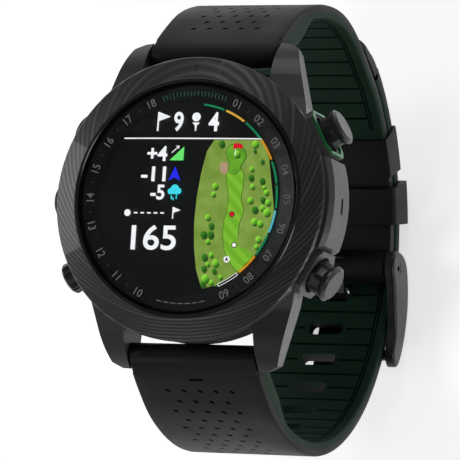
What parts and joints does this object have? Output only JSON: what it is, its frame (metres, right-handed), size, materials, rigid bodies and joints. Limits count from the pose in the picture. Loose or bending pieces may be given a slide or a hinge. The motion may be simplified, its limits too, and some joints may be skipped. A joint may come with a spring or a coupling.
{
  "type": "golf gps watch",
  "caption": "Round golf watch with a map screen, numbered inner ring, patterned bezel, side push buttons and a buckled two-layer band with keepers.",
  "frame": {"origin": "middle of the rear sensor window's outer face, on the case back", "axes": "+Z out of the dial, +Y to 12 o'clock, +X to 3 o'clock"},
  "size_m": [0.0498, 0.0752, 0.0737],
  "materials": {
    "case_composite": "satin",
    "bezel_carbon": "satin",
    "lip_metal": "polished",
    "crystal_glass": "polished",
    "black_seal": "matte",
    "dial_ring": "matte",
    "display": "gloss",
    "inner_frame": "matte",
    "antenna_metal": "brushed",
    "board": "satin",
    "shield_metal": "brushed",
    "cell_foil": "satin",
    "cover_plastic": "matte",
    "sensor_glass": "gloss",
    "screw_steel": "brushed",
    "contact_gold": "polished",
    "button_metal": "satin",
    "sleeve_metal": "brushed",
    "green_accent": "satin",
    "strap_black": "matte",
    "strap_green": "matte",
    "buckle_metal": "satin",
    "pin_steel": "brushed",
    "flex_film": "gloss"
  },
  "bodies": {
    "watch": {"case_body": "case_composite", "vent_insert": "inner_frame", "bezel_ring": "bezel_carbon", "bezel_lip_ring": "lip_metal", "crystal": "crystal_glass", "crystal_gasket": "black_seal", "chapter_ring": "dial_ring", "display_panel": "display", "display_carrier": "inner_frame", "antenna_ring": "antenna_metal", "main_board": "board", "chip_shields": "shield_metal", "battery": "cell_foil", "vibration_motor": "shield_metal", "sensor_board": "board", "display_flex": "flex_film", "rear_cover": "cover_plastic", "sensor_window": "sensor_glass", "rear_gasket": "black_seal", "rear_screws": "screw_steel", "charge_socket": "inner_frame", "charge_contacts": "contact_gold", "button_sleeves": "sleeve_metal", "tact_switches": "inner_frame", "guard_ring_green": "green_accent", "strap_short_outer": "strap_black", "strap_short_liner": "strap_green", "strap_long_outer": "strap_black", "strap_long_liner": "strap_green", "lug_pins": "pin_steel", "strap_end_tubes": "pin_steel", "fixed_keeper": "strap_black"},
    "button_light_2": {"button_light_2": "button_metal", "seal_light_2": "black_seal", "clip_light_2": "screw_steel"},
    "button_start_4": {"button_start_4": "button_metal", "seal_start_4": "black_seal", "clip_start_4": "screw_steel"},
    "button_down_8": {"button_down_8": "button_metal", "seal_down_8": "black_seal", "clip_down_8": "screw_steel"},
    "button_menu_9": {"button_menu_9": "button_metal", "seal_menu_9": "black_seal", "clip_menu_9": "screw_steel"},
    "button_up_10": {"button_up_10": "button_metal", "seal_up_10": "black_seal", "clip_up_10": "screw_steel"},
    "buckle": {"buckle_frame": "buckle_metal", "buckle_pin": "pin_steel", "buckle_pin_caps": "buckle_metal"},
    "tang": {"buckle_tang": "buckle_metal"},
    "keeper": {"free_keeper": "strap_black"},
    "latch_upper": {"release_latch_upper": "inner_frame"},
    "latch_lower": {"release_latch_lower": "inner_frame"}
  },
  "joints": [
    {"name": "press_light_2", "type": "slide", "parent": "watch", "child": "button_light_2", "axis": [-0.8788, -0.4772, 0], "range_m": [0, 0.00065], "stiffness_N_per_m": 900, "springref_m": -0.0004},
    {"name": "press_start_4", "type": "slide", "parent": "watch", "child": "button_start_4", "axis": [-0.8788, 0.4772, 0], "range_m": [0, 0.00065], "stiffness_N_per_m": 900, "springref_m": -0.0004},
    {"name": "press_down_8", "type": "slide", "parent": "watch", "child": "button_down_8", "axis": [0.866, 0.5, 0], "range_m": [0, 0.00065], "stiffness_N_per_m": 900, "springref_m": -0.0004},
    {"name": "press_menu_9", "type": "slide", "parent": "watch", "child": "button_menu_9", "axis": [1, 0, 0], "range_m": [0, 0.00065], "stiffness_N_per_m": 900, "springref_m": -0.0004},
    {"name": "press_up_10", "type": "slide", "parent": "watch", "child": "button_up_10", "axis": [0.866, -0.5, 0], "range_m": [0, 0.00065], "stiffness_N_per_m": 900, "springref_m": -0.0004},
    {"name": "buckle_hinge", "type": "hinge", "parent": "watch", "child": "buckle", "pos_m": [0, -0.0017, -0.05255], "axis": [1, 0, 0], "range_deg": [0, 5]},
    {"name": "tang_hinge", "type": "hinge", "parent": "buckle", "child": "tang", "pos_m": [0, -0.0017, -0.05255], "axis": [1, 0, 0], "range_deg": [0, 2.5]},
    {"name": "keeper_slide", "type": "hinge", "parent": "watch", "child": "keeper", "pos_m": [0, 0, -0.0201], "axis": [1, 0, 0], "range_deg": [-6.5, 2.5]},
    {"name": "latch_upper_slide", "type": "slide", "parent": "watch", "child": "latch_upper", "axis": [0, 0.5821, -0.8131], "range_m": [0, 0.0014], "stiffness_N_per_m": 300, "springref_m": -0.0006},
    {"name": "latch_lower_slide", "type": "slide", "parent": "watch", "child": "latch_lower", "axis": [0, -0.5821, -0.8131], "range_m": [0, 0.0014], "stiffness_N_per_m": 300, "springref_m": -0.0006}
  ]
}
